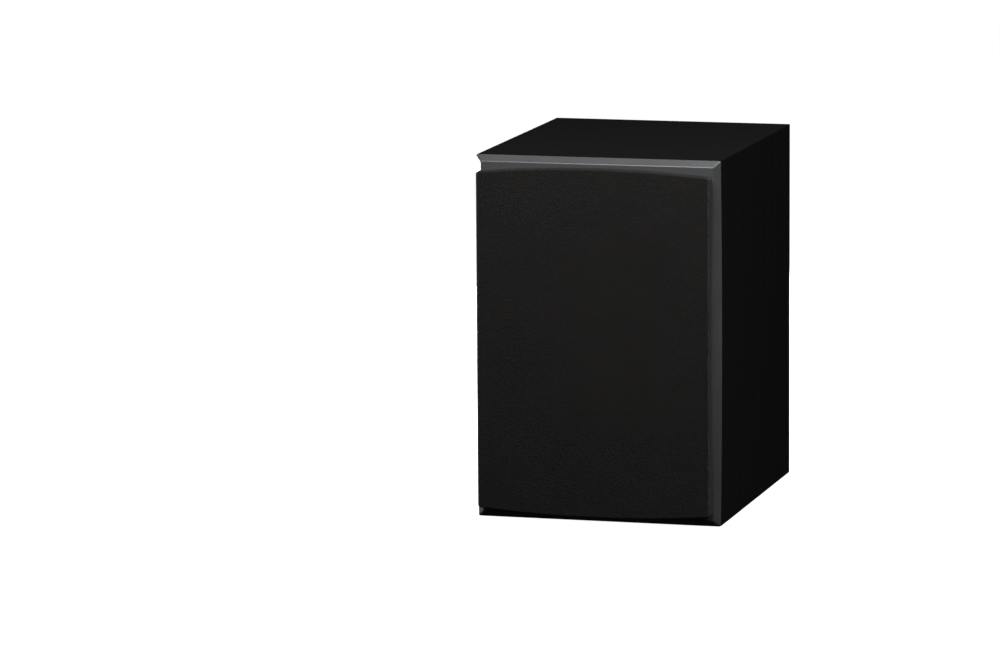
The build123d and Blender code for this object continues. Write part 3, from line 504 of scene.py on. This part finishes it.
def grille_cloth():
    """The cloth: flat in front, folded over the frame's edge, and turned in behind."""
    rings = cloth_rings()
    points, flats = [], []
    for ring in rings:
        for (x, y, z, past, a, b), (fx, fz, _, _) in zip(ring, outline(FOLD)):
            points.append((x, y, z + MIDDLE_Z))
            flats.append((fx + a * past, fz + b * past, 0.0) if past else (x, z, 0.0))
    faces = stitched(len(rings), len(rings[0]), closed=True)
    made = piece_from("grille_cloth_sheet", points, faces, knit("grille_cloth"))
    made.data.attributes.new("flat", "FLOAT_VECTOR", "POINT").data.foreach_set(
        "vector", [value for flat in flats for value in flat]
    )
    outward(made, seam=lambda co: abs(co.x) < TINY and co.y < CLOTH_LOW.y + TINY)
    skin = made.modifiers.new("skin", "SOLIDIFY")
    skin.thickness = CLOTH_SKIN
    skin.offset = -1.0
    settle(made, skin)
    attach(made, "grille")
    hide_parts("grille_cloth")


grille_cloth()


# Finishes of the carried-over nodes --------------------------------------------------------------

ALL_FINISHES = (
    moulding(),
    fibreboard("raw_mdf"),
    grained("black_plastic", 0.010, 0.018, 2600, 0.00004, (0.55, 0.42)),
    grained(
        "black_screws", (0.015, 0.015, 0.016), (0.045, 0.045, 0.048), 3000, 0.00003, (0.45, 0.3),
        metallic=0.8,
    ),
    grained("black_rubber", 0.008, 0.02, 1800, 0.00003, (0.75, 0.55)),
    grained("basket_paint", 0.012, 0.03, 2200, 0.00008, (0.6, 0.4)),
    grained("foam_seal", 0.02, 0.07, 2400, 0.0002, (0.95, 0.85)),
    pulp("cone_paper"),
    grained(
        "coil_former", (0.5, 0.5, 0.51), (0.75, 0.75, 0.76), 1500, 0.00002, (0.4, 0.28), metallic=1.0
    ),
    wound("copper_winding", "y", 0.00035, (0.4, 0.25)),
    grained("spider_cloth", (0.28, 0.17, 0.05), (0.52, 0.36, 0.14), 1600, 0.0001, (0.9, 0.7)),
    grained(
        "plated_steel", (0.38, 0.38, 0.38), (0.62, 0.62, 0.6), 1100, 0.00003, (0.5, 0.3), metallic=1.0
    ),
    grained("ferrite", (0.03, 0.03, 0.034), (0.075, 0.075, 0.08), 1300, 0.00012, (0.8, 0.6)),
    grained("brass", (0.5, 0.36, 0.13), (0.75, 0.58, 0.27), 1500, 0.00002, (0.4, 0.25), metallic=1.0),
    grained("tinsel", (0.35, 0.22, 0.1), (0.7, 0.5, 0.28), 3500, 0.0001, (0.5, 0.3), metallic=0.9),
    grained("silk", 0.008, 0.03, 3200, 0.00006, (0.7, 0.5)),
    grained("port_plastic", 0.010, 0.02, 2300, 0.00005, (0.6, 0.45)),
    grained(
        "plated_brass", (0.62, 0.45, 0.16), (0.85, 0.68, 0.32), 1500, 0.00001, (0.3, 0.15), metallic=1.0
    ),
    grained("red_knob", (0.35, 0.008, 0.008), (0.5, 0.02, 0.015), 1600, 0.00001, (0.3, 0.2)),
    grained("black_knob", 0.01, 0.02, 1600, 0.00001, (0.3, 0.2)),
    board_laminate("circuit_board"),
    grained("nylon", (0.55, 0.54, 0.48), (0.7, 0.69, 0.63), 1500, 0.00002, (0.5, 0.35)),
    grained("capacitor_sleeve", (0.25, 0.03, 0.02), (0.42, 0.06, 0.04), 1200, 0.00002, (0.35, 0.2)),
    grained("cement", (0.55, 0.54, 0.5), (0.8, 0.79, 0.75), 1400, 0.00015, (0.95, 0.8)),
    grained("wire_sleeve", (0.3, 0.012, 0.012), (0.45, 0.03, 0.025), 1800, 0.00002, (0.4, 0.28)),
    batting("wadding"),
    grained("grille_frame", 0.010, 0.02, 2400, 0.00005, (0.6, 0.45)),
)
FINISHES = {finish.name: finish for finish in ALL_FINISHES}
WRAP_GRAIN = vinyl("vinyl_wrap", along="x", across="y")
REAR_GRAIN = vinyl("vinyl_rear", along="z", across="x")
UPRIGHT_COILS = wound("upright_coils", "z", 0.0011, (0.35, 0.2))
SPIDER_WEAVE = woven(
    "spider_cloth", 0.0011, (0.24, 0.14, 0.035), (0.55, 0.38, 0.15), 0.00012, (0.9, 0.7)
)
SILK_WEAVE = woven("silk", 0.0004, (0.006,) * 3, (0.03,) * 3, 0.00004, (0.6, 0.4))

for node_name, node in nodes.items():
    for part_slot in node.material_slots:
        wanted = part_slot.material.name.split(".")[0]
        if wanted == "wrapped_mdf":
            part_slot.material = (REAR_GRAIN if node_name == "rear_panel" else WRAP_GRAIN).material
        elif node_name == "crossover_inductors":
            part_slot.material = UPRIGHT_COILS.material
        elif wanted != "grille_cloth":
            part_slot.material = FINISHES[wanted].material


# Soft parts of the two drivers -------------------------------------------------------------------

# Their sections are in millimetres: the radius, and the depth behind the drivers' seat
SEAT_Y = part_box("woofer_surround")[1].y + 2.0 * MM
WOOFER_Z = sum(v.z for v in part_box("woofer_surround")) / 2
TWEETER_Z = sum(v.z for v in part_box("tweeter_surround")) / 2
RING_STEPS = 120
TAB_Z = 5.0 * MM


def arc(middle, radius, level, first, last, steps):
    """Points of an arc in radius and depth; 0 degrees points outwards and 90 degrees to the front."""
    angles = [math.radians(first + (last - first) * i / steps) for i in range(steps + 1)]
    return [(middle + radius * math.cos(a), level - radius * math.sin(a)) for a in angles]


def wedges(node, count, section, z, finish):
    """A ring in equal wedges, each a closed piece along its own share of the ring."""
    steps, width = RING_STEPS // count, TURN / count
    for wedge in range(count):
        first = width * wedge
        points = []
        for step in range(steps + 1):
            angle = first + width * step / steps
            out, up = MM * math.cos(angle), MM * math.sin(angle)
            points += [(r * out, SEAT_Y + w * MM, z + r * up) for r, w in section]
        corners = len(section)
        faces = stitched(steps + 1, corners, closed=True)
        faces.append(tuple(range(corners - 1, -1, -1)))
        faces.append(tuple(steps * corners + i for i in range(corners)))
        made = piece_from(f"{node}_{wedge + 1:02d}", points, faces, finish)
        outward(made)
        made.data.set_sharp_from_angle(angle=math.radians(40))
        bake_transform(made)
        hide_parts(node)


def rubber_section():
    """The woofer's surround: a flat rim, the half roll, and a flat rim."""
    middle, level, skin, inner, outer, steps = 54.0, -2.0, 0.8, 46.5, 62.5, 20
    front = arc(middle, 4.9, level, 170.6, 9.4, steps)
    behind = arc(middle, 4.1, level, 0.0, 180.0, steps)
    rims = [(outer, level - skin), (outer, level)]
    return [(inner, level - skin), *front, *rims, *behind, (inner, level)]


def silk_section():
    """The tweeter's surround: a small roll, and the rim that is glued behind the plate."""
    middle, level, skin, inner, outer, steps = 14.7, 1.6, 0.3, 12.8, 21.2, 14
    front = arc(middle, 1.85, level, 170.7, 9.3, steps)
    behind = arc(middle, 1.55, level, 0.0, 180.0, steps)
    rim = [(outer, level - skin), (outer, 2.0), (17.8, 2.0), (17.8, level)]
    return [(inner, level - skin), *front, *rim, *behind, (inner, level)]


def spider_section():
    """The woofer's spider: five rounded waves between two flat rims."""
    level, half, start, spacing, swing, steps = 23.75, 0.25, 17.0, 2.3, 1.1, 5
    crests = [(start + spacing * i, level + swing * (-1) ** i) for i in range(1, 10)]
    line = [(13.15, level), (start, level), *crests, (40.0, level), (46.0, level)]
    fine = [line[0]]
    for (r0, w0), (r1, w1) in zip(line, line[1:]):
        for i in range(1, steps + 1):
            rise = (1 - math.cos(math.pi * i / steps)) / 2
            fine.append((r0 + (r1 - r0) * i / steps, w0 + (w1 - w0) * rise))
    return [(r, w - half) for r, w in fine] + [(r, w + half) for r, w in reversed(fine)]


def tinsel_lead(side):
    """A braided copper lead that hangs slack from the cone to its tab."""
    height = WOOFER_Z + side * TAB_Z
    route = [(27.0, 12.6), (36.0, 19.0), (47.5, 15.5), (53.0, 20.0), (53.0, 26.0)]
    line = bpy.data.curves.new("lead_line", "CURVE")
    line.dimensions = "3D"
    line.resolution_u = 24
    spline = line.splines.new("NURBS")
    spline.points.add(len(route) - 1)
    for point, (x, w) in zip(spline.points, route):
        point.co = (x * MM, SEAT_Y + w * MM, height, 1.0)
    spline.order_u = 3
    spline.use_endpoint_u = True
    holder = bpy.data.objects.new("lead_line", line)
    scene.collection.objects.link(holder)
    sampled = bpy.data.meshes.new_from_object(holder)
    centres = [v.co.copy() for v in sampled.vertices]
    bpy.data.objects.remove(holder)
    bpy.data.curves.remove(line)
    bpy.data.meshes.remove(sampled)

    columns, radius, strands, lay, ridge = 18, 0.00052, 3, 0.004, 0.13
    across = Vector((0, 0, 1))
    points, run = [], 0.0
    for i, centre in enumerate(centres):
        ahead = centres[min(i + 1, len(centres) - 1)] - centres[max(i - 1, 0)]
        up = across.cross(ahead.normalized())
        run += (centre - centres[i - 1]).length if i else 0.0
        for c in range(columns):
            angle = TURN * c / columns
            bulge = 1 + ridge * math.cos(strands * angle - TURN * run / lay)
            outwards = across * math.cos(angle) + up * math.sin(angle)
            points.append(centre + outwards * radius * bulge)
    faces = stitched(len(centres), columns, closed=True)
    faces.append(tuple(range(columns)))
    faces.append(tuple((len(centres) - 1) * columns + c for c in range(columns)))
    name = "woofer_lead_upper" if side > 0 else "woofer_lead_lower"
    made = piece_from(name, points, faces, FINISHES["tinsel"])
    outward(made)
    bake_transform(made)
    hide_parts("woofer_tinsel_leads")


wedges(
    "woofer_surround", 24, rubber_section(), WOOFER_Z, FINISHES["black_rubber"],
)
wedges(
    "woofer_spider", 12, spider_section(), WOOFER_Z, SPIDER_WEAVE,
)
wedges(
    "tweeter_surround", 12, silk_section(), TWEETER_Z, SILK_WEAVE,
)
tinsel_lead(-1)
tinsel_lead(1)


# Damping pads ------------------------------------------------------------------------------------

PAD_VOXEL = 0.005
PAD_PRESSURE = 4.0
PAD_FRAMES = 20
# How much smaller a pad starts, how far a point may move, and how deep its fluff is
PAD_INSET, PAD_CAP, PAD_FLUFF = 0.003, 0.003, 0.0012
# Points nearer the wall than this are held, and those within the second distance stay smooth
PAD_HELD, PAD_SMOOTH = 0.001, 0.004
TUFTS, FIBRES = 140.0, 420.0


def wadding_pad(name, low, high, axis, wall):
    """A pad of wadding on a wall: it swells in front, and lies flat against the wall behind."""
    low, high = Vector(low), Vector(high)
    inset = Vector((PAD_INSET,) * 3)
    inner_low, inner_high = low + inset, high - inset
    if wall > 0:
        inner_high[axis] = high[axis]
    else:
        inner_low[axis] = low[axis]
    with_mesh = bmesh.new()
    bmesh.ops.create_cube(with_mesh, size=1.0)
    for v in with_mesh.verts:
        v.co = Vector(inner_high[i] if v.co[i] > 0 else inner_low[i] for i in range(3))
    mesh = bpy.data.meshes.new(name)
    with_mesh.to_mesh(mesh)
    with_mesh.free()
    made = bpy.data.objects.new(name, mesh)
    scene.collection.objects.link(made)
    voxels = made.modifiers.new("voxels", "REMESH")
    voxels.mode = "VOXEL"
    voxels.voxel_size = PAD_VOXEL
    settle(made, voxels)
    against = (high if wall > 0 else low)[axis]
    held = made.vertex_groups.new(name="held")
    near = [v.index for v in made.data.vertices if abs(v.co[axis] - against) < PAD_HELD]
    held.add(near, 1.0, "REPLACE")
    start = [v.co.copy() for v in made.data.vertices]
    cloth = made.modifiers.new("cloth", "CLOTH")
    cloth.settings.quality = 5
    cloth.settings.use_pressure = True
    cloth.settings.uniform_pressure_force = PAD_PRESSURE
    cloth.settings.vertex_group_mass = "held"
    cloth.settings.effector_weights.gravity = 0.0
    cloth.point_cache.frame_start, cloth.point_cache.frame_end = 1, PAD_FRAMES
    for step in range(1, PAD_FRAMES + 1):
        scene.frame_set(step)
    settle(made, cloth)
    scene.frame_set(1)
    for v, before in zip(made.data.vertices, start):
        move = v.co - before
        if move.length > PAD_CAP:
            move *= PAD_CAP / move.length
        v.co = before + move
    finer = made.modifiers.new("finer", "SUBSURF")
    finer.levels = 1
    settle(made, finer)
    for v in made.data.vertices:
        fluff = 0.5 + 0.5 * noise.noise(v.co * TUFTS) + 0.4 * noise.noise(v.co * FIBRES)
        inward = -v.normal * PAD_FLUFF * fluff
        inward[axis] *= min(1.0, abs(v.co[axis] - against) / PAD_SMOOTH)
        moved = v.co + inward
        v.co = Vector(max(low[i], min(high[i], moved[i])) for i in range(3))
    made.data.materials.clear()
    made.data.materials.append(FINISHES["wadding"].material)
    made.data.polygons.foreach_set("use_smooth", [True] * len(made.data.polygons))
    made.vertex_groups.clear()
    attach(made, "loudspeaker")
    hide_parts("damping_pads")


def damping_pads():
    """Three pads, on the left and right walls and under the top."""
    low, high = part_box("damping_pads")
    side, under, top_x = 0.015, 0.014, 0.070
    front, back, top_back = 0.012, 0.112, 0.100
    foot, head = 0.080, 0.264
    left = ((low.x, front, foot), (low.x + side, back, head))
    right = ((high.x - side, front, foot), (high.x, back, head))
    top = ((-top_x, front, high.z - under), (top_x, top_back, high.z))
    wadding_pad("damping_pad_left", *left, axis=0, wall=-1)
    wadding_pad("damping_pad_right", *right, axis=0, wall=1)
    wadding_pad("damping_pad_top", *top, axis=2, wall=1)


damping_pads()


# Floor, lights and camera ------------------------------------------------------------------------

WHITE = (1.0, 1.0, 1.0, 1.0)
FLOOR_GLOW, BACKDROP_GLOW, ROOM_LIGHT = 0.99, 1.05, 0.011


def floor():
    """A wide pale floor with a slight mottle."""
    size, steps = 8.0, 24
    points = [
        ((c / steps - 0.5) * size, (r / steps - 0.5) * size, 0.0)
        for r in range(steps + 1)
        for c in range(steps + 1)
    ]
    made = Finish("floor", roughness=0.9, Specular_IOR_Level=0.1)
    mottle = made.noise(3.0, 4.0)
    made.colour(made.blend(mottle, (0.93, 0.93, 0.93), (0.96, 0.96, 0.96)))
    made.set(Emission_Color=WHITE, Emission_Strength=FLOOR_GLOW)
    mesh = bpy.data.meshes.new("floor")
    mesh.from_pydata(points, [], stitched(steps + 1, steps + 1))
    ground = bpy.data.objects.new("floor", mesh)
    mesh.materials.append(made.material)
    scene.collection.objects.link(ground)
    ground.visible_diffuse = False
    ground.visible_glossy = False


floor()


def surroundings():
    """A white backdrop for the eye, and a dim even light for the loudspeaker."""
    world = bpy.data.worlds.new("studio")
    world.use_nodes = True
    tree = world.node_tree
    dim = tree.nodes["Background"]
    dim.inputs["Color"].default_value = WHITE
    dim.inputs["Strength"].default_value = ROOM_LIGHT
    white = tree.nodes.new("ShaderNodeBackground")
    white.inputs["Color"].default_value = WHITE
    white.inputs["Strength"].default_value = BACKDROP_GLOW
    seen = tree.nodes.new("ShaderNodeLightPath")
    mixed = tree.nodes.new("ShaderNodeMixShader")
    tree.links.new(seen.outputs["Is Camera Ray"], mixed.inputs[0])
    tree.links.new(dim.outputs[0], mixed.inputs[1])
    tree.links.new(white.outputs[0], mixed.inputs[2])
    tree.links.new(mixed.outputs[0], tree.nodes["World Output"].inputs[0])
    scene.world = world


surroundings()


def softbox(name, place, target, width, height, watts):
    """A large soft lamp that faces a point."""
    lamp = bpy.data.lights.new(name, "AREA")
    lamp.shape = "RECTANGLE"
    lamp.size, lamp.size_y = width, height
    lamp.energy = watts
    made = bpy.data.objects.new(name, lamp)
    made.location = place
    made.rotation_euler = (Vector(target) - Vector(place)).to_track_quat("-Z", "Y").to_euler()
    scene.collection.objects.link(made)


softbox("front_lamp", (-0.05, -0.68, 0.92), (0.0, -0.1, 0.15), 0.6, 0.5, 6.6)
softbox("top_lamp", (0.34, -0.10, 1.30), (0.05, 0.0, 0.29), 0.9, 0.9, 6.0)
softbox("right_lamp", (0.70, -0.80, 0.90), (0.0, -0.1, 0.20), 0.45, 0.5, 2.7)
softbox("low_lamp", (0.9, 0.05, 0.06), (0.1, 0.0, 0.04), 0.5, 0.12, 0.6)
softbox("left_lamp", (-0.95, 0.15, 0.15), (-0.1, 0.0, 0.15), 0.6, 0.26, 9.0)
softbox("rear_lamp", (-0.60, 0.95, 0.15), (0.0, 0.13, 0.15), 0.9, 0.26, 16.0)


def camera():
    """The eye: far off, a little to the right and above, with a slight roll."""
    turn, tilt, roll = math.radians(15.707), math.radians(9.094), math.radians(-0.368)
    distance, aside, below = 4.70016, 0.11195, 0.01373
    middle = Vector((0.0, 0.01145, 0.1465))
    back = Vector((
        math.sin(turn) * math.cos(tilt), -math.cos(turn) * math.cos(tilt), math.sin(tilt)
    ))
    level = Vector((math.cos(turn), math.sin(turn), 0.0))
    upright = back.cross(level)
    right = level * math.cos(roll) + upright * math.sin(roll)
    up = upright * math.cos(roll) - level * math.sin(roll)
    eye = middle + back * distance - right * aside - up * below
    lens = bpy.data.cameras.new("camera")
    lens.lens, lens.sensor_width = 207.27, 36.0
    lens.clip_end = 50.0
    made = bpy.data.objects.new("camera", lens)
    axes = Matrix((right, up, back)).transposed().to_4x4()
    made.matrix_world = Matrix.Translation(eye) @ axes
    scene.collection.objects.link(made)
    scene.camera = made


camera()
scene.view_settings.view_transform = "Standard"
scene.cycles.use_denoising = True
